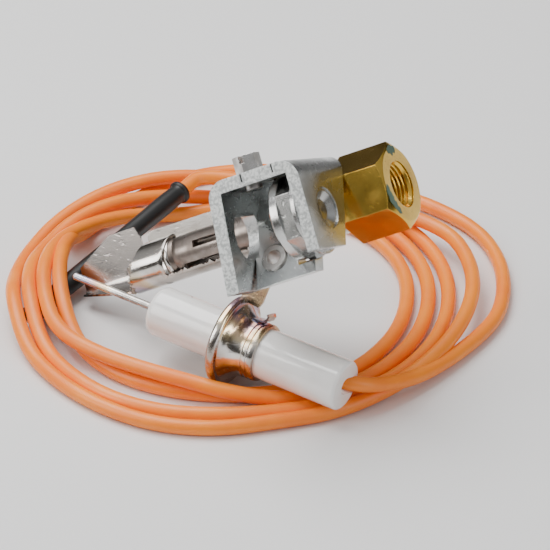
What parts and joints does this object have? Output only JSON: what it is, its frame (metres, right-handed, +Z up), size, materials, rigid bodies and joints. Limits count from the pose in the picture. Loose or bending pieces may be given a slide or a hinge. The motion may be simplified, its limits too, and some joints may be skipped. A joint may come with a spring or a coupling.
{
  "type": "gas pilot burner with spark electrode",
  "caption": "Gas pilot burner on a folded sheet bracket, with a ceramic spark electrode strapped below it and a coiled high-voltage lead ending in a booted push-on terminal.",
  "frame": {"origin": "middle of the rigid assembly's box in plan, on the table it lies on", "axes": "+X to the inlet's side along the rigid assembly's longest extent, +Y away from the viewer, +Z up"},
  "size_m": [0.125, 0.125, 0.0638],
  "materials": {
    "zinc_plate": "bright zinc plate, frosted sheared edges",
    "stainless_sheet": "bright rolled stainless sheet, heat tinted near welds",
    "tinted_steel": "pressed steel with gold and blue heat tint",
    "brass_turned": "turned brass, wrench-bright facets",
    "screw_steel": "plated screw steel",
    "electrode_wire": "drawn wire, dull",
    "glazed_ceramic": "white glazed alumina, glossy",
    "silicone_lead": "orange silicone, soft sheen",
    "black_rubber": "matt black rubber",
    "tinned_brass": "tinned brass strip"
  },
  "bodies": {
    "root": {"bracket": "zinc_plate", "clamp_screw": "screw_steel", "port_plug": "zinc_plate", "port_washer": "stainless_sheet", "port_locknut": "zinc_plate", "wall_eyelet": "screw_steel", "inlet_fitting": "brass_turned", "orifice": "brass_turned", "mixer_body": "zinc_plate", "body_saddle": "tinted_steel", "burner_tube": "stainless_sheet", "tube_collar": "stainless_sheet", "hood": "stainless_sheet", "target_wing": "stainless_sheet", "electrode_flange": "tinted_steel", "electrode_strap": "tinted_steel", "ceramic_insulator": "glazed_ceramic", "spark_rod": "electrode_wire", "lead_ferrule": "tinned_brass", "lead_start": "silicone_lead", "lead_end": "silicone_lead", "lead_coil": "silicone_lead", "lead_boot": "black_rubber", "lead_terminal": "tinned_brass"}
  },
  "joints": []
}
